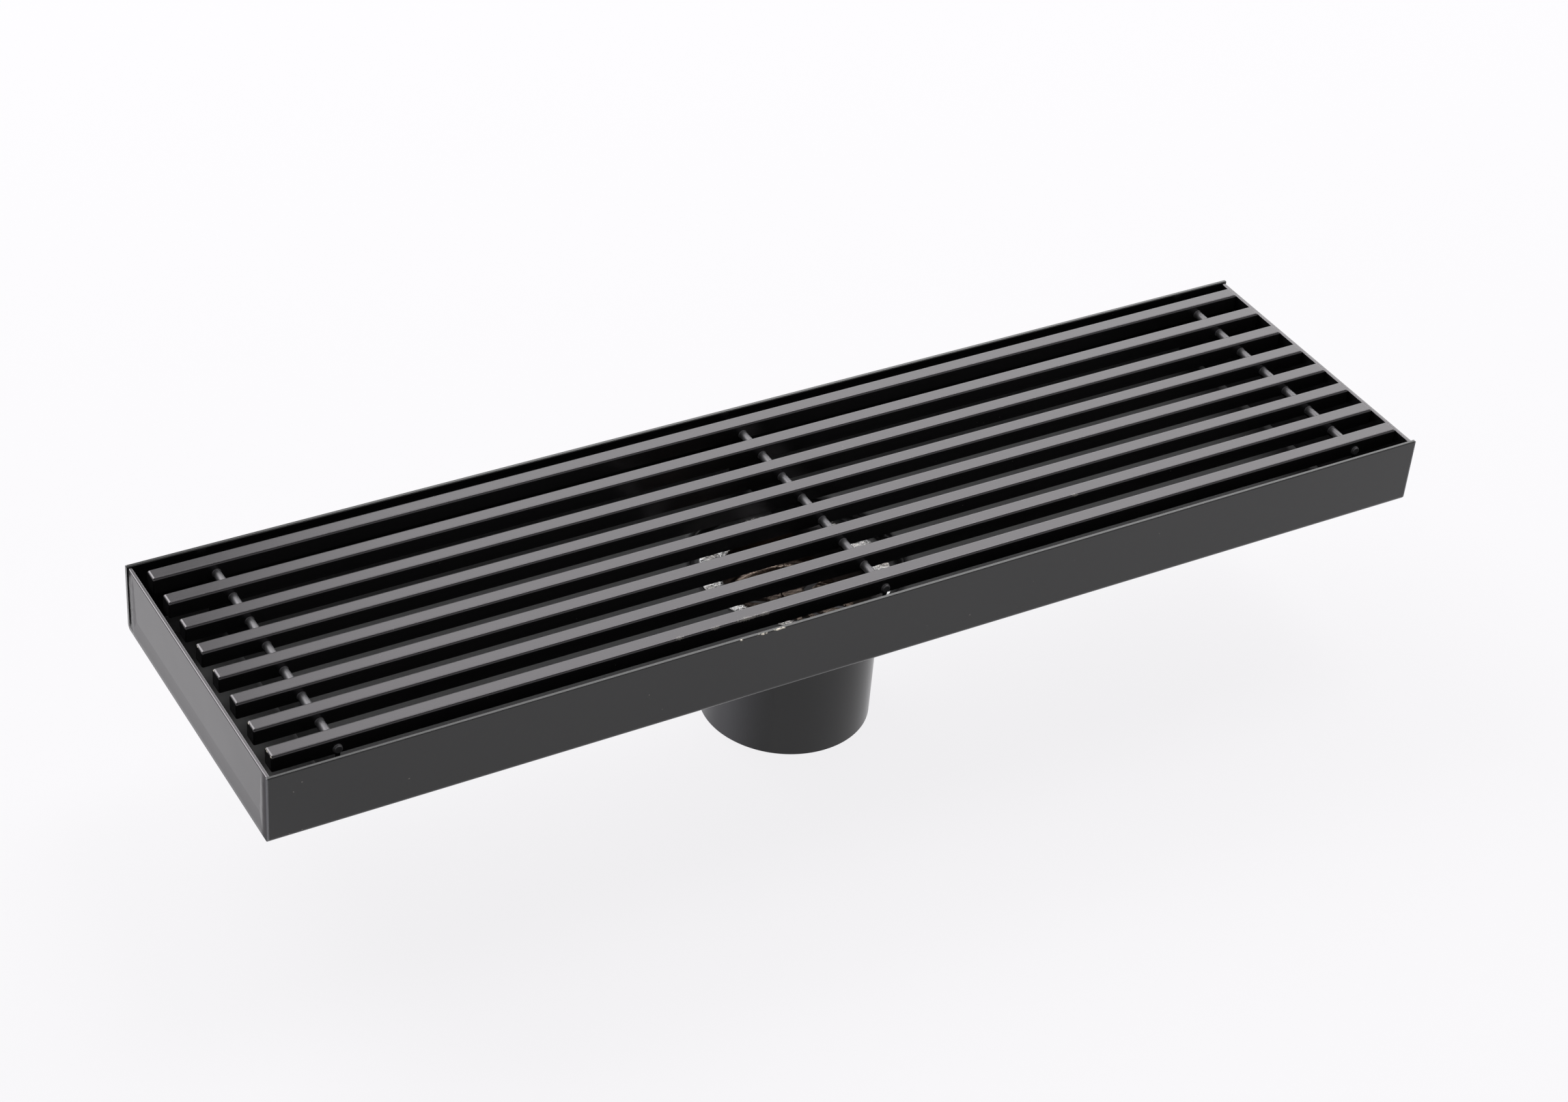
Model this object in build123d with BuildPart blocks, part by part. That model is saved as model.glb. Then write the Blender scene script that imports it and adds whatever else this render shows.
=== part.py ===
"""Linear shower drain with a slatted grate.

A shallow tray folded from steel sheet, closed by a welded plate at each end, drops in a pressed
sump to a round outlet spigot. A round strainer lies loose in the sump. The grate lies loose in
the tray: flat slats, tied by cross rods that pass through them and held at rim height by ribs
that stand on the tray floor.

Millimetres. X runs along the tray, Y across it, Z up. The origin is the centre of the
spigot's lower end, which is also the face that the drain stands on.
"""
from build123d import *
import os

os.makedirs("parts", exist_ok=True)

# Tray
tray_length = 300.0
tray_width = 80.0
wall_height = 17.5
sheet = 1.0
fold_inner_radius = 0.25
rim_rounding = 0.3
end_plate_inset = 0.3
end_plate_drop = 0.4

# Sump and outlet
spigot_reach = 42.5
spigot_diameter = 41.5
spigot_wall = 1.5
spigot_chamfer = 0.4
weld_leg = 1.2
sump_depth = 5.5
press_radius = 2.0

# Strainer
strainer_diameter = 45.8
strainer_sheet = 1.0
strainer_play = 0.3
cup_play = 0.6
cup_depth = 9.0
cup_taper = 2.5
cup_bend = 1.6
slot_count = 12
slot_width = 2.0
slot_length = 7.5
slot_circle = 9.0
knob_diameter = 6.0
knob_head = 2.0
knob_neck = 1.2
knob_stem_diameter = 3.0
knob_rounding = 0.7
rivet_diameter = 4.6
rivet_height = 0.8

# Grate: it fills the tray but for a play along and across it
grate_end_play = 2.4
grate_side_play = 6.5
slat_count = 8
slat_width = 3.9
slat_height = 4.0
slat_rounding = 0.6
slat_corner = 0.4
rod_diameter = 2.0
rod_depth = 1.7
rod_stub = 0.65
rod_end_rounding = 0.3
rod_from_left_end = 14.8
rod_from_right_end = 12.2
rib_sheet = 1.2
rib_foot = 8.0
rib_relief = 2.0
rib_corner = 1.5

# Where the loose grate lies in the tray: close to the right end plate and to the back wall
grate_end_gap = 0.1
grate_shift_back = 1.2

# Levels
underside_z = spigot_reach
floor_z = underside_z + sheet
rim_z = underside_z + wall_height
end_rim_z = rim_z - end_plate_drop
sump_floor_z = floor_z - sump_depth
flange_z = sump_floor_z + strainer_sheet
cup_floor_z = flange_z - cup_depth
slat_bottom_z = rim_z - slat_height
rod_z = rim_z - rod_depth - rod_diameter / 2

# Widths and radii that follow
inner_width = tray_width - 2 * sheet
fold_radius = sheet + fold_inner_radius
end_inner_x = tray_length / 2 - end_plate_inset - sheet
spigot_radius = spigot_diameter / 2
bore_radius = spigot_radius - spigot_wall
flange_radius = strainer_diameter / 2
sump_radius = flange_radius + strainer_play + press_radius
sump_rim_radius = sump_radius + 2 * press_radius
cup_radius = bore_radius - cup_play - strainer_sheet
cup_floor_radius = cup_radius - cup_taper
knob_radius = knob_diameter / 2
stem_radius = knob_stem_diameter / 2
rod_radius = rod_diameter / 2

# Grate layout
grate_length = 2 * end_inner_x - grate_end_play
rod_length = inner_width - grate_side_play
grate_width = rod_length - 2 * rod_stub
slat_span = grate_width - slat_width
slat_pitch = slat_span / (slat_count - 1)
grate_x = end_inner_x - grate_end_gap - grate_length / 2
grate_y = grate_shift_back
slat_places = [grate_y + slat_span / 2 - i * slat_pitch for i in range(slat_count)]
rod_left_x = grate_x - grate_length / 2 + rod_from_left_end
rod_right_x = grate_x + grate_length / 2 - rod_from_right_end
rod_places = {"left": rod_left_x, "middle": (rod_left_x + rod_right_x) / 2, "right": rod_right_x}

pieces = {}

# Tray: the floor and the long walls are one folded sheet, drawn along the outer face and
# thickened inwards. The sump is pressed out of the same sheet, with rounded shoulders, and its
# hole is as wide as the spigot.
with BuildPart() as channel_tray:
    with BuildSketch(Plane.YZ):
        with BuildLine():
            outer_face = FilletPolyline(
                (-tray_width / 2, rim_z),
                (-tray_width / 2, underside_z),
                (tray_width / 2, underside_z),
                (tray_width / 2, rim_z),
                radius=fold_radius,
            )
            offset(outer_face, amount=sheet, side=Side.LEFT)
        make_face()
    extrude(amount=tray_length / 2, both=True)
    rim_edges = channel_tray.edges().filter_by(Axis.X).group_by(Axis.Z)[-1]
    fillet(rim_edges, radius=rim_rounding)
    with BuildSketch(Plane.XY.offset(underside_z)):
        Circle(sump_rim_radius)
    extrude(amount=sheet, mode=Mode.SUBTRACT)
    with BuildSketch(Plane.XZ):
        with BuildLine():
            upper_face = FilletPolyline(
                (sump_rim_radius, floor_z),
                (sump_radius, floor_z),
                (sump_radius, sump_floor_z),
                (spigot_radius, sump_floor_z),
                radius=press_radius,
            )
            offset(upper_face, amount=sheet, side=Side.LEFT)
        make_face()
    revolve(axis=Axis.Z)
pieces["channel_tray"] = channel_tray

# End plates: they stand on the floor between the long walls, with their lower corners cut to
# the folds, a little short of the walls' ends and a little under their rims.
with BuildPart() as end_plate_right:
    with BuildSketch(Plane.YZ.offset(end_inner_x)) as end_outline:
        with Locations((0, floor_z)):
            Rectangle(inner_width, end_rim_z - floor_z, align=(Align.CENTER, Align.MIN))
        fillet(end_outline.vertices().group_by(Axis.Y)[0], radius=fold_inner_radius)
    extrude(amount=sheet)
    end_rim_edges = end_plate_right.edges().filter_by(Axis.Y).group_by(Axis.Z)[-1]
    fillet(end_rim_edges, radius=rim_rounding)
pieces["end_plate_right"] = end_plate_right

with BuildPart() as end_plate_left:
    mirror(end_plate_right.part, about=Plane.YZ)
pieces["end_plate_left"] = end_plate_left

# Outlet spigot: a plain tube that fills the sump's hole and is welded round its underside.
# The weld is the sloped ring under the sump floor.
sump_underside_z = sump_floor_z - sheet
with BuildPart() as outlet_spigot:
    with BuildSketch(Plane.XZ):
        with BuildLine():
            Polyline(
                (bore_radius, 0),
                (spigot_radius - spigot_chamfer, 0),
                (spigot_radius, spigot_chamfer),
                (spigot_radius, sump_underside_z - weld_leg),
                (spigot_radius + weld_leg, sump_underside_z),
                (spigot_radius, sump_underside_z),
                (spigot_radius, sump_floor_z),
                (bore_radius, sump_floor_z),
                close=True,
            )
        make_face()
    revolve(axis=Axis.Z)
pieces["outlet_spigot"] = outlet_spigot

# Strainer: one pressing, a flat flange that lies on the sump floor and a tapered cup that
# hangs in the spigot's bore, with radial slots in the cup's floor.
with BuildPart() as strainer:
    with BuildSketch(Plane.XZ):
        with BuildLine():
            cup_face = FilletPolyline(
                (flange_radius, flange_z),
                (cup_radius, flange_z),
                (cup_floor_radius, cup_floor_z),
                (0, cup_floor_z),
                radius=cup_bend,
            )
            offset(cup_face, amount=strainer_sheet, side=Side.LEFT)
        make_face()
    revolve(axis=Axis.Z)
    with BuildSketch(Plane.XY.offset(cup_floor_z - strainer_sheet)):
        Circle(stem_radius)
        with PolarLocations(slot_circle, slot_count):
            SlotOverall(slot_length, slot_width)
    extrude(amount=strainer_sheet, mode=Mode.SUBTRACT)
pieces["strainer"] = strainer

# Knob: turned button for lifting the strainer, riveted over under the cup's floor.
with BuildPart() as strainer_knob:
    with BuildSketch(Plane.XZ):
        with BuildLine():
            Polyline(
                (0, cup_floor_z - strainer_sheet - rivet_height),
                (rivet_diameter / 2, cup_floor_z - strainer_sheet - rivet_height),
                (rivet_diameter / 2, cup_floor_z - strainer_sheet),
                (stem_radius, cup_floor_z - strainer_sheet),
                (stem_radius, cup_floor_z + knob_neck),
                (knob_radius, cup_floor_z + knob_neck),
                (knob_radius, cup_floor_z + knob_neck + knob_head),
                (0, cup_floor_z + knob_neck + knob_head),
                close=True,
            )
        make_face()
    revolve(axis=Axis.Z)
    head_edges = strainer_knob.edges().filter_by(GeomType.CIRCLE).group_by(Axis.Z)[-1]
    fillet(head_edges, radius=knob_rounding)
pieces["strainer_knob"] = strainer_knob

# Slats: rectangular bars with their corners and upper edges rounded over, bored crosswise
# for the rods.
for number, slat_y in enumerate(slat_places, start=1):
    with BuildPart() as slat:
        with Locations((grate_x, slat_y, slat_bottom_z)):
            Box(grate_length, slat_width, slat_height, align=(Align.CENTER, Align.CENTER, Align.MIN))
        fillet(slat.edges().filter_by(Axis.Z), radius=slat_corner)
        fillet(slat.edges().group_by(Axis.Z)[-1], radius=slat_rounding)
        with BuildSketch(Plane.XZ.offset(-slat_y)):
            with Locations(*[(x, rod_z) for x in rod_places.values()]):
                Circle(rod_radius)
        extrude(amount=slat_width, both=True, mode=Mode.SUBTRACT)
    pieces[f"grate_slat_{number}"] = slat

# Rods: they fill the slats' bores and stand out a little past the outer slats.
for side, rod_x in rod_places.items():
    with BuildPart() as rod:
        with BuildSketch(Plane.XZ.offset(-grate_y)):
            with Locations((rod_x, rod_z)):
                Circle(rod_radius)
        extrude(amount=rod_length / 2, both=True)
        fillet(rod.edges().filter_by(GeomType.CIRCLE), radius=rod_end_rounding)
    pieces[f"cross_rod_{side}"] = rod

# Ribs: sheet strips on edge, welded under the slats below each rod. They stand on a foot at
# each end and are cut away between the feet, so that water runs under them.
for side, rod_x in rod_places.items():
    with BuildPart() as rib:
        with BuildSketch(Plane.YZ.offset(rod_x)) as rib_outline:
            with Locations((grate_y, floor_z)):
                Rectangle(grate_width, slat_bottom_z - floor_z, align=(Align.CENTER, Align.MIN))
                Rectangle(
                    grate_width - 2 * rib_foot,
                    rib_relief,
                    align=(Align.CENTER, Align.MIN),
                    mode=Mode.SUBTRACT,
                )
            relief_corners = rib_outline.vertices().filter_by_position(
                Axis.Y, floor_z + rib_relief / 2, floor_z + rib_relief * 3 / 2
            )
            fillet(relief_corners, radius=rib_corner)
        extrude(amount=rib_sheet / 2, both=True)
    pieces[f"grate_rib_{side}"] = rib

for name, piece in pieces.items():
    piece.part.label = name
    export_step(piece.part, f"parts/{name}.step")
    size = piece.part.bounding_box().size
    print(f"{name}: {size.X:.1f} x {size.Y:.1f} x {size.Z:.1f} mm, {piece.part.volume:.0f} mm3")
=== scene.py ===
# %% [markdown]
# # A linear shower drain, dressed for its portrait
# The drain is a shallow black tray with a slatted grate, standing on its round outlet spigot. The
# construction comes in finished from CAD as a fixed frame, so this lesson is about finish: the
# baked coat on folded sheet, the same coat on bars, bright steel under the grate, and the small
# marks that welding, grinding and handling leave.

# %% Load the frame
import math
import random

import bmesh
import bpy
from mathutils import Matrix, Vector


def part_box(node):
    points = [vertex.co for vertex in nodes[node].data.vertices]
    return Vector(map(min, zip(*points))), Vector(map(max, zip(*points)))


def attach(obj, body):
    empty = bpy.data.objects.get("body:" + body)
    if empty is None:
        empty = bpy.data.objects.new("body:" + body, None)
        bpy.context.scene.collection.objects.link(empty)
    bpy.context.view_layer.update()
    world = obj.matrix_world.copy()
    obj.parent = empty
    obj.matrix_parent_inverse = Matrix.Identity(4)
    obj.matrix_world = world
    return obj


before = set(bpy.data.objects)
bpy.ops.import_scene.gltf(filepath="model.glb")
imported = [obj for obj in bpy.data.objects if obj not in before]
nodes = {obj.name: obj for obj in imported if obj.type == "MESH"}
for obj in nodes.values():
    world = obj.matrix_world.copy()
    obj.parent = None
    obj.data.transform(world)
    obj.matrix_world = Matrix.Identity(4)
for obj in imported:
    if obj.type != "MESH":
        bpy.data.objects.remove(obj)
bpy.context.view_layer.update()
MM = 0.001

# %% [markdown]
# Places are read from the frame rather than typed again: the rim is the top of the tray's box,
# and the slats, rods and ribs are found by their names. If the drain changes in CAD, this script
# follows.

# %% Find the pieces
tray_low, tray_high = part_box("channel_tray")
rim_z = tray_high.z
slats = sorted(name for name in nodes if name.startswith("grate_slat_"))
rods = sorted(name for name in nodes if name.startswith("cross_rod_"))
ribs = sorted(name for name in nodes if name.startswith("grate_rib_"))
print("rim at", round(rim_z / MM, 2), "mm,", len(slats), "slats,", len(rods), "rods,", len(ribs), "ribs")

# %% [markdown]
# ## Camera
# The photograph looks down on the drain from the front left with a long lens, and the picture is
# a little askew. A long lens stands far back, so the far end of the tray is hardly smaller than
# the near one. The camera is turned from its direction, then rolled about its own axis.

# %% Set up the camera
PHOTO_WIDTH, PHOTO_HEIGHT = 2296, 1614
camera_azimuth = math.radians(-32.89)
camera_elevation = math.radians(36.53)
camera_roll = math.radians(5.24)
camera_distance = 777.3 * MM
camera_lens_mm, camera_sensor_mm = 76.9, 36.0
nearest_seen, farthest_seen = 0.01, 30.0
aim = Vector((-6.57, -4.36, -9.77)) * MM + Vector((0, 0, rim_z))

towards_camera = Vector((
    math.sin(camera_azimuth) * math.cos(camera_elevation),
    -math.cos(camera_azimuth) * math.cos(camera_elevation),
    math.sin(camera_elevation),
))
camera = bpy.data.objects.new("camera", bpy.data.cameras.new("camera"))
camera.data.sensor_width = camera_sensor_mm
camera.data.lens = camera_lens_mm
camera.data.clip_start, camera.data.clip_end = nearest_seen, farthest_seen
level_turn = (-towards_camera).to_track_quat("-Z", "Y").to_matrix().to_4x4()
camera.matrix_world = (
    Matrix.Translation(aim + towards_camera * camera_distance)
    @ level_turn
    @ Matrix.Rotation(camera_roll, 4, "Z")
)
bpy.context.scene.collection.objects.link(camera)
bpy.context.scene.camera = camera
print("camera at", [round(v, 3) for v in camera.location], "for a frame of", PHOTO_WIDTH, "by", PHOTO_HEIGHT)

# %% [markdown]
# ## Helpers for materials
# Colours are written as the hex values that a paint chart or a picture editor shows. Those are
# sRGB, and a shader works in linear light, so one function converts them with the sRGB standard's
# own curve. A second function adds a node with its settings and links in one line, which keeps
# each recipe readable from top to bottom.

# %% Colour and node helpers
def linear(hex_colour):
    """An sRGB hex colour as the linear RGBA that a shader wants."""
    channels = [int(hex_colour[i:i + 2], 16) / 255 for i in (1, 3, 5)]
    return tuple(c / 12.92 if c <= 0.04045 else ((c + 0.055) / 1.055) ** 2.4 for c in channels) + (1.0,)


def add(tree, kind, settings=None, **inputs):
    """Adds a node, sets its properties, and fills or links its inputs by name, or by number as _0."""
    node = tree.nodes.new(kind)
    for name, value in (settings or {}).items():
        setattr(node, name, value)
    for key, value in inputs.items():
        name = int(key[1:]) if key[0] == "_" else key.replace("_", " ")
        if isinstance(value, bpy.types.NodeSocket):
            tree.links.new(value, node.inputs[name])
        else:
            node.inputs[name].default_value = value
    return node


def new_material(name):
    """An empty material: its node tree, its surface shader and a place in millimetres."""
    material = bpy.data.materials.new(name)
    material.use_nodes = True
    tree = material.node_tree
    tree.nodes.clear()
    surface = add(tree, "ShaderNodeBsdfPrincipled")
    add(tree, "ShaderNodeOutputMaterial", Surface=surface.outputs["BSDF"])
    place = add(tree, "ShaderNodeTexCoord")
    in_mm = add(
        tree, "ShaderNodeVectorMath", {"operation": "SCALE"},
        Vector=place.outputs["Object"], Scale=1 / MM,
    )
    return material, tree, surface, in_mm.outputs["Vector"]


# Most of a noise node's values lie between these two
noise_low, noise_high = 0.3, 0.7
print("black coat #131314 in linear light:", round(linear("#131314")[0], 4))

# %% [markdown]
# ## Satin black coat
# The tray and the grate are steel under a baked black powder coat. The powder melts and flows in
# the oven, so the coat is closed and smooth, with a faint orange peel: low waves about a
# millimetre long. The pigment is carbon black, so almost nothing comes back from inside the coat,
# and what the eye sees is the satin reflection on top.
#
# The recipe is built in layers, one cell for each: the black itself, its gloss, the floor's
# painted light, the ground ends with their painted corner highlights, and last the worn places.

# %% Coat colour
cloud_mm = 38.0
cloud_dark, cloud_pale = 0.35, 0.65
dust_cell_mm, grain_radius_mm, grain_core_mm = 2.2, 0.11, 0.066
dust_rarity, dust_strength, dust_colour = 0.86, 0.22, "#c9c4bb"


def coat_colour(tree, at, colour, paler_colour):
    """The coat's black, drifting between two tones, with a grain of dust here and there."""
    cloud = add(
        tree, "ShaderNodeTexNoise", Vector=at, Scale=1 / cloud_mm, Detail=3.0, Roughness=0.55,
    )
    tone = add(tree, "ShaderNodeValToRGB", Fac=cloud.outputs["Fac"])
    tone.color_ramp.elements[0].position, tone.color_ramp.elements[1].position = cloud_dark, cloud_pale
    tone.color_ramp.elements[0].color = linear(colour)
    tone.color_ramp.elements[1].color = linear(paler_colour)

    # One grain lies in each cell, and it is kept only where the cell's own random value is high
    cells = add(tree, "ShaderNodeTexVoronoi", Vector=at, Scale=1 / dust_cell_mm)
    grain = add(
        tree, "ShaderNodeMapRange", Value=cells.outputs["Distance"],
        From_Min=grain_radius_mm / dust_cell_mm, From_Max=grain_core_mm / dust_cell_mm,
    )
    chance = add(tree, "ShaderNodeSeparateColor", Color=cells.outputs["Color"])
    rare = add(
        tree, "ShaderNodeMath", {"operation": "GREATER_THAN"}, _0=chance.outputs[0], _1=dust_rarity,
    )
    grains = add(
        tree, "ShaderNodeMath", {"operation": "MULTIPLY"},
        _0=grain.outputs["Result"], _1=rare.outputs[0],
    )
    faint = add(
        tree, "ShaderNodeMath", {"operation": "MULTIPLY"}, _0=grains.outputs[0], _1=dust_strength,
    )
    return add(
        tree, "ShaderNodeMix", {"data_type": "RGBA"},
        _0=faint.outputs[0], _6=tone.outputs["Color"], _7=linear(dust_colour),
    ).outputs[2]


print("dust: one grain in a cell of", dust_cell_mm, "mm, kept in", round(1 - dust_rarity, 2), "of the cells")

# %% [markdown]
# Baking leaves the gloss a little uneven from patch to patch. The orange peel is under a thousandth
# of a millimetre high, so it only makes the edges of a reflection swim.

# %% Coat gloss and orange peel
gloss_patch_mm, gloss_drift = 9.0, 0.012
peel_height_mm = 0.0008


def coat_gloss(tree, at, roughness):
    """The coat's roughness, drifting a little from patch to patch."""
    patches = add(tree, "ShaderNodeTexNoise", Vector=at, Scale=1 / gloss_patch_mm, Detail=4.0)
    return add(
        tree, "ShaderNodeMapRange", Value=patches.outputs["Fac"],
        From_Min=noise_low, From_Max=noise_high,
        To_Min=roughness - gloss_drift, To_Max=roughness + gloss_drift,
    ).outputs["Result"]


def orange_peel(tree, at, peel_mm):
    """The low waves of melted powder, as a bent surface direction."""
    waves = add(tree, "ShaderNodeTexNoise", Vector=at, Scale=1 / peel_mm, Detail=2.0)
    return add(
        tree, "ShaderNodeBump",
        Height=waves.outputs["Fac"], Strength=1.0, Distance=peel_height_mm * MM,
    ).outputs["Normal"]


print("orange peel", peel_height_mm, "mm high")

# %% [markdown]
# What faces up and lies low, the tray's floor, is painted paler and drawn duller than its walls.
# The paler colour is painted light, for the light that falls on the floor through the gaps. The
# mask for it reads the surface's direction and its height under the rim.

# %% Settled dust
rim_mm = rim_z / MM
floor_light_from_mm, floor_light_full_mm = 12.0, 14.0
level_from, level_full = 0.5, 0.9
# The floor's paler colour is painted light, for the light that falls through the gaps
painted_floor_light_colour, floor_roughness = "#303031", 0.42


def painted_floor_light(tree, place, direction):
    """A mask of what faces up, deep in the tray."""
    level = add(
        tree, "ShaderNodeMapRange", Value=direction.outputs["Z"],
        From_Min=level_from, From_Max=level_full,
    )
    low = add(
        tree, "ShaderNodeMapRange", Value=place.outputs["Z"],
        From_Min=rim_mm - floor_light_from_mm, From_Max=rim_mm - floor_light_full_mm,
    )
    return add(
        tree, "ShaderNodeMath", {"operation": "MULTIPLY"},
        _0=level.outputs["Result"], _1=low.outputs["Result"],
    ).outputs[0]


print("floor painted paler from", floor_light_from_mm, "mm under the rim")

# %% [markdown]
# The ends of the tray are ground together with their welds. What faces along the tray therefore
# has a colour of its own, and near each upright corner the real end is ground round over a few
# millimetres. The solid keeps a sharp corner there, and a bump turns its light towards the long
# walls. A thin paler line is painted down each upright corner: a painted highlight on the
# sharp edge.

# %% Ground ends
half_length, half_width = tray_high.x / MM, tray_high.y / MM
end_facing_from, end_facing_full = 0.6, 0.95
ground_mm, ground_depth_mm, ground_margin_mm = 3.6, 2.1, 0.5
# The thin paler line down each corner is a painted highlight on the sharp edge
corner_highlight_x_mm, corner_highlight_y_mm, painted_corner_highlight_colour = 0.3, 0.5, "#6e6e71"


def ground_ends(tree, direction):
    """A mask of what faces along the tray."""
    sideways = add(tree, "ShaderNodeMath", {"operation": "ABSOLUTE"}, _0=direction.outputs["X"])
    return add(
        tree, "ShaderNodeMapRange", Value=sideways.outputs[0],
        From_Min=end_facing_from, From_Max=end_facing_full,
    ).outputs["Result"]


def ground_corners(tree, along, across, end, peel):
    """The ends bent towards the long walls near each upright corner, over the orange peel."""
    at_end = add(
        tree, "ShaderNodeMath", {"operation": "GREATER_THAN"},
        _0=along, _1=half_length - ground_margin_mm,
    ).outputs[0]
    drop = add(
        tree, "ShaderNodeMapRange", Value=across,
        From_Min=half_width - ground_mm, From_Max=half_width,
    ).outputs["Result"]
    for operation, by in (("POWER", 2.0), ("MULTIPLY", at_end), ("MULTIPLY", end)):
        drop = add(tree, "ShaderNodeMath", {"operation": operation}, _0=drop, _1=by).outputs[0]
    return add(
        tree, "ShaderNodeBump", {"invert": True},
        Height=drop, Strength=1.0, Distance=ground_depth_mm * MM, Normal=peel,
    ).outputs["Normal"]


def painted_corner_highlights(tree, along, across):
    """A mask of the painted highlight down each upright corner."""
    edge_x = add(
        tree, "ShaderNodeMath", {"operation": "GREATER_THAN"},
        _0=along, _1=half_length - corner_highlight_x_mm,
    )
    edge_y = add(
        tree, "ShaderNodeMath", {"operation": "GREATER_THAN"},
        _0=across, _1=half_width - corner_highlight_y_mm,
    )
    return add(
        tree, "ShaderNodeMath", {"operation": "MULTIPLY"},
        _0=edge_x.outputs[0], _1=edge_y.outputs[0],
    ).outputs[0]


print("corners ground over", ground_mm, "mm,", round(half_length, 1), "mm from the middle")

# %% [markdown]
# A loose grate wears its coat at its corners, and a rim loses chips of it where something hard
# falls on it. Each worn place is a small ellipsoid in space, made ragged with noise. A painted
# mask would need an image, and this way the same few numbers say where a place is and how large.

# %% Worn places
ragged_shift = 0.7
fade_from = 0.75


def worn_places(tree, at, places, ragged_mm):
    """A mask of small ragged places, each a centre and three half widths in millimetres."""
    ragged = add(tree, "ShaderNodeTexNoise", Vector=at, Scale=1 / ragged_mm, Detail=3.0)
    shift = add(
        tree, "ShaderNodeMapRange", Value=ragged.outputs["Fac"],
        From_Min=noise_low, From_Max=noise_high, To_Min=-ragged_shift, To_Max=ragged_shift,
    )
    mask = 0.0
    for centre, half_widths in places:
        away = add(tree, "ShaderNodeVectorMath", {"operation": "SUBTRACT"}, _0=at, _1=centre)
        scaled = add(
            tree, "ShaderNodeVectorMath", {"operation": "DIVIDE"},
            _0=away.outputs["Vector"], _1=half_widths,
        )
        reach = add(tree, "ShaderNodeVectorMath", {"operation": "LENGTH"}, _0=scaled.outputs["Vector"])
        torn = add(
            tree, "ShaderNodeMath", {"operation": "ADD"},
            _0=reach.outputs["Value"], _1=shift.outputs["Result"],
        )
        spot = add(tree, "ShaderNodeMapRange", Value=torn.outputs[0], From_Min=1.0, From_Max=fade_from)
        mask = add(
            tree, "ShaderNodeMath", {"operation": "MAXIMUM"}, _0=mask, _1=spot.outputs["Result"],
        ).outputs[0]
    return mask


print("a worn place fades out over the last", round(1 - fade_from, 2), "of its reach")

# %% [markdown]
# The photograph shows where the coat is worn. Each list below holds one kind of wear, and its
# places are measured from the rim and from the slats' own boxes, so they stay on their edges if
# those move.

# %% Places on the tray and the grate
front_y = tray_low.y / MM
slat_ends = [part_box(name)[0].x / MM for name in slats]
slat_fronts = [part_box(name)[0].y / MM for name in slats]

# Along the front rim: a place along the tray and half a chip's length
rim_chips = [
    ((x, front_y, rim_mm - 0.1), (half, 0.34, 0.19))
    for x, half in ((-32.9, 1.5), (-28.6, 1.6), (-38.5, 0.3))
]
# On the front wall: a place along the tray and a depth under the rim
handling_specks = [
    ((x, front_y, rim_mm - down), (0.16, 0.3, 0.16))
    for x, down in (
        (-142.2, 3.3), (-144.1, 5.4), (-145.2, 16.6), (-143.6, 16.9), (-142.4, 16.3),
        (-118.0, 11.2), (-61.0, 7.9), (22.5, 12.6), (74.3, 5.1),
    )
]
# At the slats' left ends: which slat, from 0 at the back, where across it, and half the width
bare_corners = [
    ((slat_ends[i] + 0.16, slat_fronts[i] + across, rim_mm - 0.3), (0.13, half, 0.14))
    for i, across, half in (
        (3, 2.4, 0.5), (4, 3.2, 0.3), (6, 2.9, 0.35), (7, 0.5, 0.25), (7, 2.4, 0.45), (7, 3.3, 0.3),
    )
]
# On the slats' front edges: which slat, a place along the tray and half a scuff's length
scuffs = [
    ((x, slat_fronts[i] + 0.2, rim_mm - 0.2), (half, 0.5, 0.35))
    for i, x, half in (
        (7, -33.5, 2.6), (7, -29.0, 1.3), (7, -41.6, 1.1), (7, -50.5, 0.9), (6, 60.2, 0.8),
    )
]
print(len(rim_chips), "rim chips,", len(handling_specks), "specks,",
      len(bare_corners), "bare corners,", len(scuffs), "scuffs")

# %% [markdown]
# The recipe lays the layers over each other from the bottom up. Pale marks are dust and dry rubs
# on the coat, so they only tint it. A bare chip is the steel under the coat, so it is a metal.

# %% Coat recipe
mark_ragged_mm, mark_strength, mark_colour = 0.35, 0.35, "#b5b1a8"
chip_ragged_mm, bare_roughness, bare_steel_colour = 0.6, 0.45, "#cfc9bd"


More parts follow.
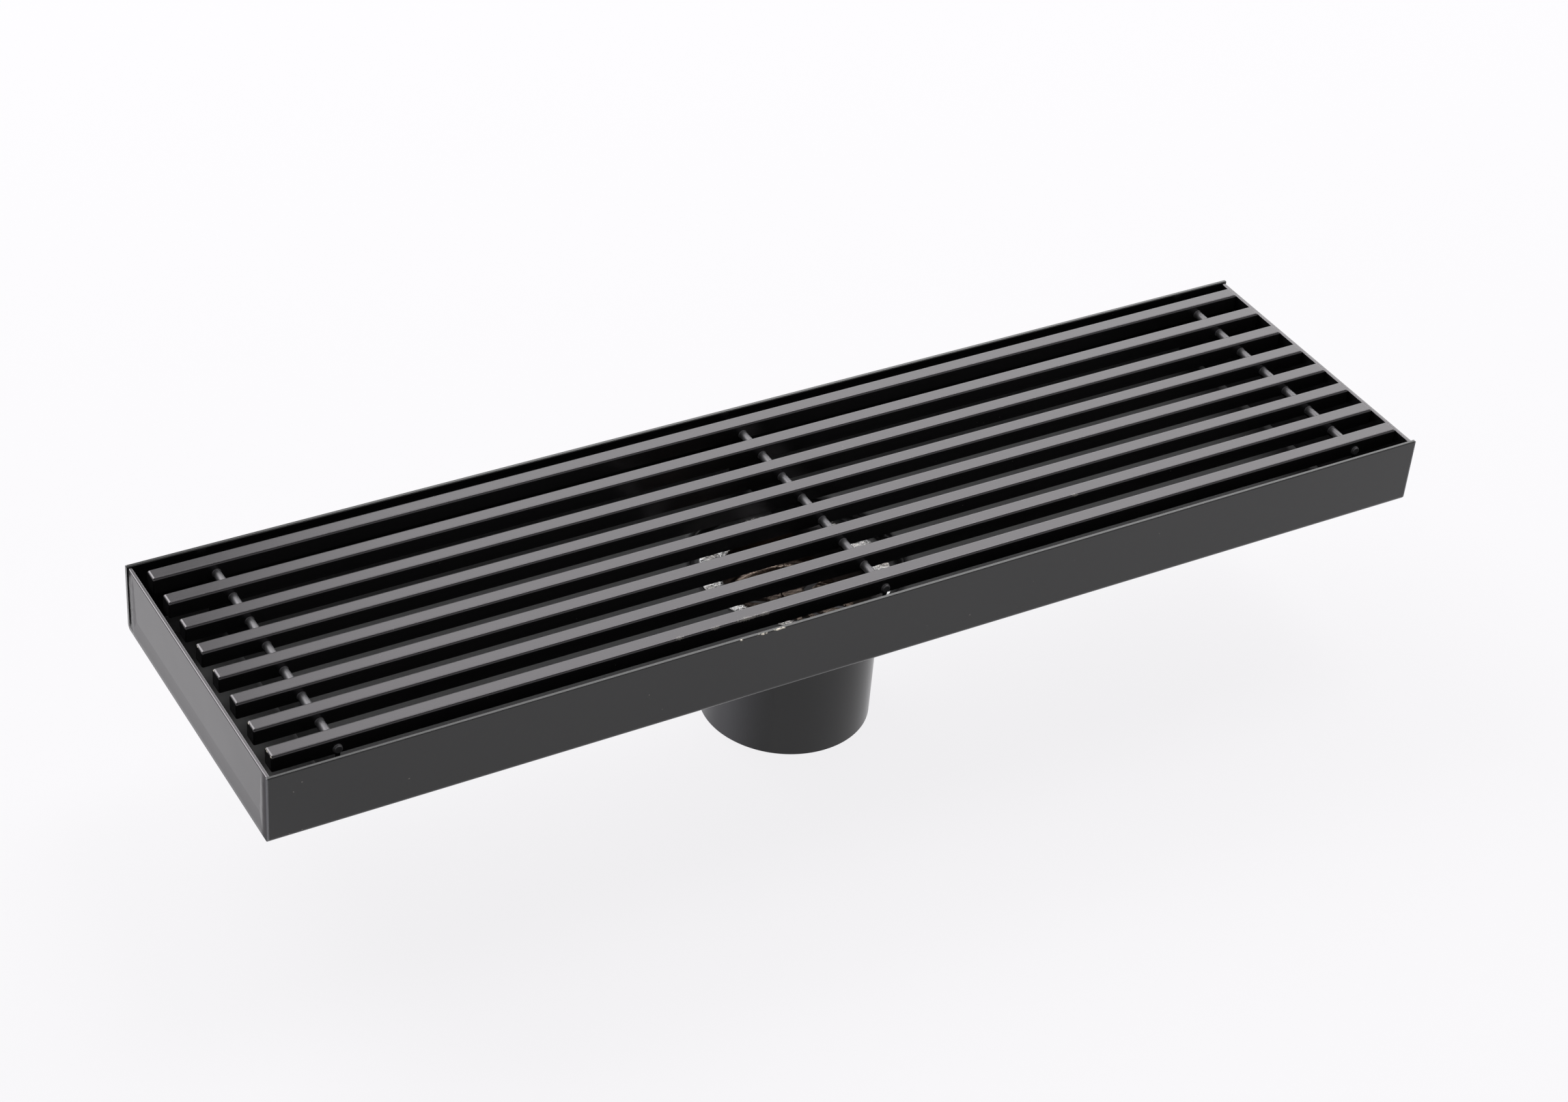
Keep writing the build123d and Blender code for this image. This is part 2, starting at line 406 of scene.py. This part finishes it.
def satin_coat(name, colour, paler_colour, tint, ior, roughness, peel_mm, end_colour, end_metallic=0.0,
               chips=(), marks=()):
    """A baked satin black coat: tint is a painted cast on its reflection, the end values for what faces
    along X.
    """
    material, tree, surface, at = new_material(name)
    geometry = add(tree, "ShaderNodeNewGeometry")
    direction = add(tree, "ShaderNodeSeparateXYZ", Vector=geometry.outputs["Normal"])
    place = add(tree, "ShaderNodeSeparateXYZ", Vector=at)
    along, across = [
        add(tree, "ShaderNodeMath", {"operation": "ABSOLUTE"}, _0=place.outputs[axis]).outputs[0]
        for axis in ("X", "Y")
    ]

    floor_light = painted_floor_light(tree, place, direction)
    end = ground_ends(tree, direction)
    marked = add(
        tree, "ShaderNodeMath", {"operation": "MULTIPLY"},
        _0=worn_places(tree, at, marks, mark_ragged_mm), _1=mark_strength,
    ).outputs[0]
    bare = worn_places(tree, at, chips, chip_ragged_mm)

    base = coat_colour(tree, at, colour, paler_colour)
    for mask, layer_colour in (
        # The floor's paler colour is painted light
        (floor_light, painted_floor_light_colour),
        (end, end_colour),
        # The pale line down each corner is a painted highlight
        (painted_corner_highlights(tree, along, across), painted_corner_highlight_colour),
        (marked, mark_colour),
        (bare, bare_steel_colour),
    ):
        base = add(
            tree, "ShaderNodeMix", {"data_type": "RGBA"}, _0=mask, _6=base, _7=linear(layer_colour),
        ).outputs[2]
    tree.links.new(base, surface.inputs["Base Color"])

    gloss = coat_gloss(tree, at, roughness)
    for mask, layer_roughness in ((floor_light, floor_roughness), (bare, bare_roughness)):
        gloss = add(
            tree, "ShaderNodeMix", {"data_type": "FLOAT"}, _0=mask, _2=gloss, _3=layer_roughness,
        ).outputs[0]
    tree.links.new(gloss, surface.inputs["Roughness"])

    if chips or end_metallic:
        end_shine = add(tree, "ShaderNodeMath", {"operation": "MULTIPLY"}, _0=end, _1=end_metallic)
        metal = add(
            tree, "ShaderNodeMath", {"operation": "MAXIMUM"}, _0=bare, _1=end_shine.outputs[0],
        )
        tree.links.new(metal.outputs[0], surface.inputs["Metallic"])

    peel = orange_peel(tree, at, peel_mm)
    bent = ground_corners(tree, along, across, end, peel)
    tree.links.new(bent, surface.inputs["Normal"])
    surface.inputs["IOR"].default_value = ior
    # Specular Tint gives the reflection the faint magenta cast of the studio light: a painted reflection
    # colour
    surface.inputs["Specular Tint"].default_value = linear(tint)
    return material


# %% [markdown]
# Coats of resin have an index of refraction near 1.5, and the long walls keep that. The end plates,
# the bars and the rods look a little brighter in the photograph, so theirs is raised to match. On
# the sheet's ground ends the coat is so thin that steel shines through it, drawn as a dark metal.
# The rods are drawn dull and painted a mid grey. The grey is a painted highlight: it stands in
# for the light that the rods catch deep between the slats.

# %% Four coats
sheet_coat = satin_coat(
    "satin_black_powder_coat_on_sheet", colour="#131314", paler_colour="#171718", tint="#ffffff",
    ior=1.52, roughness=0.2, peel_mm=1.1, end_colour="#525254", end_metallic=1.0,
    chips=rim_chips, marks=handling_specks,
)
end_coat = satin_coat(
    "satin_black_powder_coat_on_end_plate", colour="#131314", paler_colour="#171718", tint="#fff9ff",
    ior=1.72, roughness=0.24, peel_mm=1.1, end_colour="#131314",
)
bar_coat = satin_coat(
    "satin_black_powder_coat_on_bar", colour="#1d1d1e", paler_colour="#212122", tint="#fff9ff",
    ior=1.58, roughness=0.2, peel_mm=0.9, end_colour="#1d1d1e",
    chips=bare_corners, marks=scuffs,
)
# The rods' mid grey is a painted highlight on a black coat
painted_lit_rod_coat = satin_coat(
    "black_powder_coat_on_rod_painted_grey", colour="#58585a", paler_colour="#5e5e60", tint="#fff9ff",
    ior=1.6, roughness=0.42, peel_mm=0.9, end_colour="#58585a",
)
print("coats:", [coat.name for coat in (sheet_coat, end_coat, bar_coat, painted_lit_rod_coat)])

# %% [markdown]
# ## Polished stainless steel
# The strainer is pressed from sheet and polished bright. Polished steel is a metal, so its colour
# is all in its reflection. The press leaves the sheet uneven, which breaks the reflection into
# bright and dark patches about a millimetre across. A real pressing is flatter than this one: the
# waves are drawn high enough to show between the slats. Water leaves a faint warm bloom in places.
# The cup below the flange is painted dark and brownish and made glossier: painted shade under the grate.

# %% Polished steel for the strainer
flange_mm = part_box("strainer")[1].z / MM
bloom_mm, bloom_clean, bloom_full = 7.0, 0.42, 0.66
steel_colour, bloom_colour = "#eeeeef", "#cbc4be"
# The cup's dark brownish colour is painted shade under the grate
cup_shade_from_mm, cup_shade_full_mm, painted_cup_shade_colour, cup_roughness = 0.3, 1.4, "#6b6058", 0.14
press_wave_mm, press_wave_height_mm = 0.9, 0.18
polish_bright, polish_dull = 0.16, 0.32


def polished_steel(name):
    """Bright pressed steel: an uneven mirror with a faint warm bloom."""
    material, tree, surface, at = new_material(name)
    bloom = add(tree, "ShaderNodeTexNoise", Vector=at, Scale=1 / bloom_mm, Detail=3.0)
    tint = add(tree, "ShaderNodeValToRGB", Fac=bloom.outputs["Fac"])
    tint.color_ramp.elements[0].position, tint.color_ramp.elements[1].position = bloom_clean, bloom_full
    tint.color_ramp.elements[0].color = linear(steel_colour)
    tint.color_ramp.elements[1].color = linear(bloom_colour)

    place = add(tree, "ShaderNodeSeparateXYZ", Vector=at)
    # Painted shade: the cup below the flange is coloured dark and brownish, and made glossier
    in_cup = add(
        tree, "ShaderNodeMapRange", Value=place.outputs["Z"],
        From_Min=flange_mm - cup_shade_from_mm, From_Max=flange_mm - cup_shade_full_mm,
    ).outputs["Result"]
    shaded_cup = add(
        tree, "ShaderNodeMix", {"data_type": "RGBA"},
        _0=in_cup, _6=tint.outputs["Color"], _7=linear(painted_cup_shade_colour),
    )

    # The same waves bend the mirror and take some of its polish
    waves = add(tree, "ShaderNodeTexNoise", Vector=at, Scale=1 / press_wave_mm, Detail=3.0)
    rough = add(
        tree, "ShaderNodeMapRange", Value=waves.outputs["Fac"],
        From_Min=noise_low, From_Max=noise_high, To_Min=polish_bright, To_Max=polish_dull,
    )
    cup_gloss = add(
        tree, "ShaderNodeMix", {"data_type": "FLOAT"},
        _0=in_cup, _2=rough.outputs["Result"], _3=cup_roughness,
    )
    bump = add(
        tree, "ShaderNodeBump",
        Height=waves.outputs["Fac"], Strength=1.0, Distance=press_wave_height_mm * MM,
    )
    tree.links.new(shaded_cup.outputs[2], surface.inputs["Base Color"])
    tree.links.new(cup_gloss.outputs[0], surface.inputs["Roughness"])
    tree.links.new(bump.outputs["Normal"], surface.inputs["Normal"])
    surface.inputs["Metallic"].default_value = 1.0
    return material


bright_steel = polished_steel("polished_stainless_steel")
print("metal:", bright_steel.name)

# %% [markdown]
# ## Dressing the CAD nodes
# Every CAD node already has its true shape, so it only needs its finish. The tray shares its coat
# with the outlet spigot, and the end plates, the bars of the grate and the rods each have their
# own. The rods' grey is a painted highlight, so they read as pale pins in the dark gaps.

# %% Dress the nodes
def dress(node_names, material):
    """Gives CAD nodes their material; their meshes stay as they came."""
    for name in node_names:
        mesh = nodes[name].data
        mesh.materials.clear()
        mesh.materials.append(material)


dress(["channel_tray", "outlet_spigot"], sheet_coat)
dress(["end_plate_left", "end_plate_right"], end_coat)
dress(slats + ribs, bar_coat)
dress(rods, painted_lit_rod_coat)
dress(["strainer", "strainer_knob"], bright_steel)
print("dressed", len(nodes), "nodes")

# %% [markdown]
# ## Ground welds
# Each end plate is welded to the two long walls and to the floor, and the welds are ground nearly
# flush before the coat goes on. What is left is a low swelling beside each upright corner, never
# quite even, and a long soft slope along the floor. Both are lofted: one profile is repeated in
# rows along the weld, and each row's height varies a little.

# %% Weld loft
random.seed(11)
plate_low, plate_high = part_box("end_plate_left")
plate_out = -plate_low.x
wall_inner = plate_high.y
inset = tray_high.x - plate_out
weld_root = 0.1 * MM  # how deep a weld is set into the plate
sharp_from = math.radians(40)


def ground_weld(name, rows):
    """A closed low bead, lofted through rows of the same number of points."""
    mesh = bpy.data.meshes.new(name)
    form = bmesh.new()
    grid = [[form.verts.new(point) for point in row] for row in rows]
    count = len(grid[0])
    for below, above in zip(grid, grid[1:]):
        for j in range(count):
            k = (j + 1) % count
            form.faces.new((below[j], below[k], above[k], above[j]))
    form.faces.new(grid[0])
    form.faces.new(list(reversed(grid[-1])))
    bmesh.ops.recalc_face_normals(form, faces=form.faces)
    for face in form.faces:
        face.smooth = True
    form.to_mesh(mesh)
    form.free()
    mesh.set_sharp_from_angle(angle=sharp_from)
    piece = bpy.data.objects.new(name, mesh)
    bpy.context.scene.collection.objects.link(piece)
    mesh.materials.append(end_coat)
    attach(piece, "root")
    return piece


print("the end plates stand", round(inset / MM, 2), "mm inside the walls' ends")

# %% [markdown]
# A corner's profile starts a few millimetres away on the end plate, rises to just under the end
# of the long wall and dips again at the joint. It widens towards the bottom, where the torch
# was turned, and fades out under the plate's rim.

# %% Corner welds
# Each point of the profile: millimetres from the long wall's inner face, and a share of the inset
corner_profile = [
    (-3.4, -0.02), (-2.8, 0.25), (-2.2, 0.55), (-1.7, 0.8), (-1.3, 0.9),
    (-0.9, 0.8), (-0.5, 0.5), (-0.2, 0.2), (0.0, -0.02),
]
corner_rows = 22
corner_spread = 0.85
corner_low = plate_low.z - 0.05 * MM
corner_high = plate_high.z - 0.35 * MM
corner_lowest, corner_wander = 0.82, 0.05
top_fade, bottom_widening = 6.0, 0.5


def corner_weld(name, side_x, side_y):
    """A ground bead on the end plate, along the corner at the given signs of x and y."""
    rows = []
    for i in range(corner_rows + 1):
        t = i / corner_rows
        swell = min(1.0, top_fade * (1.0 - t)) * random.uniform(corner_lowest, 1.0) * inset
        widen = 1.0 + bottom_widening * (1.0 - t) + random.uniform(-corner_wander, corner_wander)
        z = corner_low + (corner_high - corner_low) * t
        row = [
            (plate_out + lift * swell, wall_inner + along * widen * corner_spread * MM, z)
            for along, lift in corner_profile
        ]
        row += [(plate_out - weld_root, row[-1][1], z), (plate_out - weld_root, row[0][1], z)]
        rows.append([(side_x * x, side_y * y, z) for x, y, z in row])
    return ground_weld(name, rows)


corner_welds = [
    corner_weld(f"corner_weld_{x_name}_{y_name}", side_x, side_y)
    for x_name, side_x in (("left", -1), ("right", 1))
    for y_name, side_y in (("front", -1), ("back", 1))
]
print("corner welds:", [piece.name for piece in corner_welds])

# %% [markdown]
# Along the floor the grinder takes more, so only a slope is left, from the plate out to the end
# of the floor's sheet. Without it a dark ledge would show there.

# %% Floor seams
# Each point of the profile: millimetres above the plate's foot, and a share of the inset
seam_profile = [
    (4.0, -0.02), (3.0, 0.16), (2.0, 0.4), (1.0, 0.68), (0.3, 0.9), (0.0, 0.97), (-0.05, 0.97),
]
seam_rows, seam_lowest = 40, 0.95


def floor_seam(name, side_x):
    """The ground slope between an end plate and the end of the tray's floor."""
    rows = []
    for i in range(seam_rows + 1):
        y = wall_inner * (2.0 * i / seam_rows - 1.0)
        swell = random.uniform(seam_lowest, 1.0) * inset
        row = [(plate_out + lift * swell, y, plate_low.z + up * MM) for up, lift in seam_profile]
        row += [(plate_out - weld_root, y, row[-1][2]), (plate_out - weld_root, y, row[0][2])]
        rows.append([(side_x * x, y, z) for x, y, z in row])
    return ground_weld(name, rows)


floor_seams = [floor_seam("floor_seam_" + name, side_x) for name, side_x in (("left", -1), ("right", 1))]
print("floor seams:", [piece.name for piece in floor_seams])

# %% [markdown]
# ## Coat fillets at the rods
# Melted powder creeps into sharp inside corners. Where a rod enters a slat, the coat makes a small
# hollow collar round it. Each collar is a ring with a concave outline, closed inside the steel, and
# the collars of one rod are one mesh.

# %% Rod collars
# Each point of the outline: shares of the reach, away from the slat and out from the rod
collar_reach = 0.15 * MM
collar_outline = [
    (-0.15, 0.98), (0.0, 1.0), (0.12, 0.55), (0.35, 0.25), (0.65, 0.08), (1.0, 0.0),
    (1.0, -0.15), (-0.15, -0.15),
]
collar_turns = 28


def rod_collars(rod_name):
    """Hollow collars of coat where one rod enters the slats."""
    low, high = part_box(rod_name)
    middle = (low + high) / 2
    radius = (high.x - low.x) / 2
    mesh = bpy.data.meshes.new(rod_name + "_collars")
    form = bmesh.new()
    for slat in slats:
        slat_low, slat_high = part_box(slat)
        for face_y, outwards in ((slat_low.y, -1), (slat_high.y, 1)):
            rings = []
            for away, out in collar_outline:
                ring = []
                for i in range(collar_turns):
                    angle = 2 * math.pi * i / collar_turns
                    r = radius + out * collar_reach
                    ring.append(form.verts.new((
                        middle.x + r * math.cos(angle),
                        face_y + outwards * away * collar_reach,
                        middle.z + r * math.sin(angle),
                    )))
                rings.append(ring)
            for j, ring in enumerate(rings):
                following = rings[(j + 1) % len(rings)]
                for i in range(collar_turns):
                    k = (i + 1) % collar_turns
                    form.faces.new((ring[i], ring[k], following[k], following[i])).smooth = True
    bmesh.ops.recalc_face_normals(form, faces=form.faces)
    form.to_mesh(mesh)
    form.free()
    piece = bpy.data.objects.new(mesh.name, mesh)
    bpy.context.scene.collection.objects.link(piece)
    mesh.materials.append(painted_lit_rod_coat)
    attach(piece, "root")
    return piece


collars = [rod_collars(name) for name in rods]
print("collars:", [(piece.name, len(piece.data.polygons)) for piece in collars])

# %% [markdown]
# ## Studio
# A white table under soft light from behind is the plainest studio there is. The table is a real
# surface that keeps the drain's shadow. Part of its white is shown as plain white to the camera
# and to reflections, as an overexposed sheet of paper would be, so the shadow stays soft.

# %% Table
table_size = 12.0
table_half = table_size / 2
table_corners = [(x * table_half, y * table_half, 0) for x, y in ((-1, -1), (1, -1), (1, 1), (-1, 1))]
table_mesh = bpy.data.meshes.new("white_table")
table_mesh.from_pydata(table_corners, [], [(0, 1, 2, 3)])
white_table = bpy.data.objects.new("white_table", table_mesh)
bpy.context.scene.collection.objects.link(white_table)
print("table", table_size, "m wide")

# %% [markdown]
# The paper on the table is matt, with a faint mottle, drawn coarser than real fibres so that it
# shows. Light Path tells its shader what kind of ray has met it. A share of what the camera and the
# reflections see is replaced by plain white, while the diffuse light that the table throws back
# stays real.

# %% White paper
whitened_for_camera, whitened_for_gloss = 0.9, 0.75
mottle_mm = 10 / 3
paper = bpy.data.materials.new("white_studio_paper")
paper.use_nodes = True
paper_tree = paper.node_tree
paper_tree.nodes.clear()
paper_place = add(paper_tree, "ShaderNodeTexCoord")
paper_mottle = add(
    paper_tree, "ShaderNodeTexNoise",
    Vector=paper_place.outputs["Object"], Scale=1 / (mottle_mm * MM), Detail=2.0,
)
paper_tone = add(paper_tree, "ShaderNodeValToRGB", Fac=paper_mottle.outputs["Fac"])
paper_tone.color_ramp.elements[0].color = linear("#f6f5f7")
paper_tone.color_ramp.elements[1].color = linear("#f9f8fb")
paper_matt = add(paper_tree, "ShaderNodeBsdfDiffuse", Color=paper_tone.outputs["Color"])
paper_white = add(paper_tree, "ShaderNodeEmission", Color=linear("#f9f8fa"), Strength=1.0)
paper_rays = add(paper_tree, "ShaderNodeLightPath")
paper_seen = add(
    paper_tree, "ShaderNodeMath", {"operation": "MAXIMUM"},
    _0=paper_rays.outputs["Is Camera Ray"], _1=paper_rays.outputs["Is Transmission Ray"],
)
paper_mirrored = add(
    paper_tree, "ShaderNodeMath", {"operation": "MULTIPLY"},
    _0=paper_rays.outputs["Is Glossy Ray"], _1=whitened_for_gloss,
)
paper_share = add(
    paper_tree, "ShaderNodeMath", {"operation": "MULTIPLY_ADD"},
    _0=paper_seen.outputs[0], _1=whitened_for_camera, _2=paper_mirrored.outputs[0],
)
paper_mix = add(
    paper_tree, "ShaderNodeMixShader",
    _0=paper_share.outputs[0], _1=paper_matt.outputs[0], _2=paper_white.outputs[0],
)
add(paper_tree, "ShaderNodeOutputMaterial", Surface=paper_mix.outputs[0])
table_mesh.materials.append(paper)
print("paper whitened by", whitened_for_camera, "for the camera,", whitened_for_gloss, "for gloss")

# %% [markdown]
# The room round the table is white near the horizon and darker overhead, as a room with white
# walls and a plain ceiling is. That gives each rounded edge a dark line and then a pale one. The
# camera and the reflections see this gradient, and the drain itself is lit by an even, weak white.

# %% Room
# Heights are a direction's z, from 0 at the horizon to 1 straight overhead
walls_up_to, ceiling_from = 0.30, 0.85
walls_shown, ceiling_shown = 1.0, 0.25
room_light_strength = 0.2
room = bpy.data.worlds.new("white_room")
bpy.context.scene.world = room
room.use_nodes = True
room_tree = room.node_tree
room_tree.nodes.clear()
room_direction = add(room_tree, "ShaderNodeTexCoord")
room_split = add(room_tree, "ShaderNodeSeparateXYZ", Vector=room_direction.outputs["Generated"])
room_height = add(
    room_tree, "ShaderNodeMapRange", Value=room_split.outputs["Z"],
    From_Min=walls_up_to, From_Max=ceiling_from, To_Min=walls_shown, To_Max=ceiling_shown,
)
room_rays = add(room_tree, "ShaderNodeLightPath")
room_seen = room_rays.outputs["Is Camera Ray"]
for kind_of_ray in ("Is Glossy Ray", "Is Transmission Ray"):
    room_seen = add(
        room_tree, "ShaderNodeMath", {"operation": "MAXIMUM"},
        _0=room_seen, _1=room_rays.outputs[kind_of_ray],
    ).outputs[0]
room_shown = add(
    room_tree, "ShaderNodeBackground",
    Color=linear("#ffffff"), Strength=room_height.outputs["Result"],
)
room_light = add(
    room_tree, "ShaderNodeBackground", Color=linear("#ffffff"), Strength=room_light_strength,
)
room_mix = add(
    room_tree, "ShaderNodeMixShader",
    _0=room_seen, _1=room_light.outputs[0], _2=room_shown.outputs[0],
)
add(room_tree, "ShaderNodeOutputWorld", Surface=room_mix.outputs[0])
print("room shown at", walls_shown, "near the horizon and", ceiling_shown, "overhead")

# %% [markdown]
# Three soft boxes hang behind the drain. The broad one is what the tops of the slats mirror
# towards the camera, so its brightness sets theirs. The small one hangs high on the right, where
# the slats' rounded front edges mirror it as a thin line. The strong one lights the table from
# behind, and the drain's shadow falls in front of it, where the front wall mirrors it.

# %% Soft boxes
# An area lamp shows a radiance of its watts divided by four times its area
WATTS_PER_RADIANCE = 4


def soft_box(name, azimuth, elevation, distance, width, height, radiance):
    """An area lamp seen from the drain at an azimuth from +Y towards +X, and an elevation, in degrees."""
    lamp = bpy.data.objects.new(name, bpy.data.lights.new(name, "AREA"))
    lamp.data.shape = "RECTANGLE"
    lamp.data.size, lamp.data.size_y = width, height
    lamp.data.energy = radiance * WATTS_PER_RADIANCE * width * height
    a, e = math.radians(azimuth), math.radians(elevation)
    direction = Vector((math.sin(a) * math.cos(e), math.cos(a) * math.cos(e), math.sin(e)))
    lamp.location = aim + direction * distance
    lamp.rotation_euler = (-direction).to_track_quat("-Z", "Y").to_euler()
    bpy.context.scene.collection.objects.link(lamp)
    return lamp


soft_boxes = [
    soft_box("broad_soft_box", 53, 37, distance=1.6, width=1.7, height=1.3, radiance=2.0),
    soft_box("high_soft_box", 65, 64, distance=1.5, width=0.6, height=0.6, radiance=4.0),
    soft_box("strong_soft_box", -21, 38, distance=1.7, width=1.3, height=0.9, radiance=5.2),
]
bpy.context.scene.view_settings.view_transform = "Standard"
print("lamps:", [(lamp.name, round(lamp.data.energy, 1)) for lamp in soft_boxes])
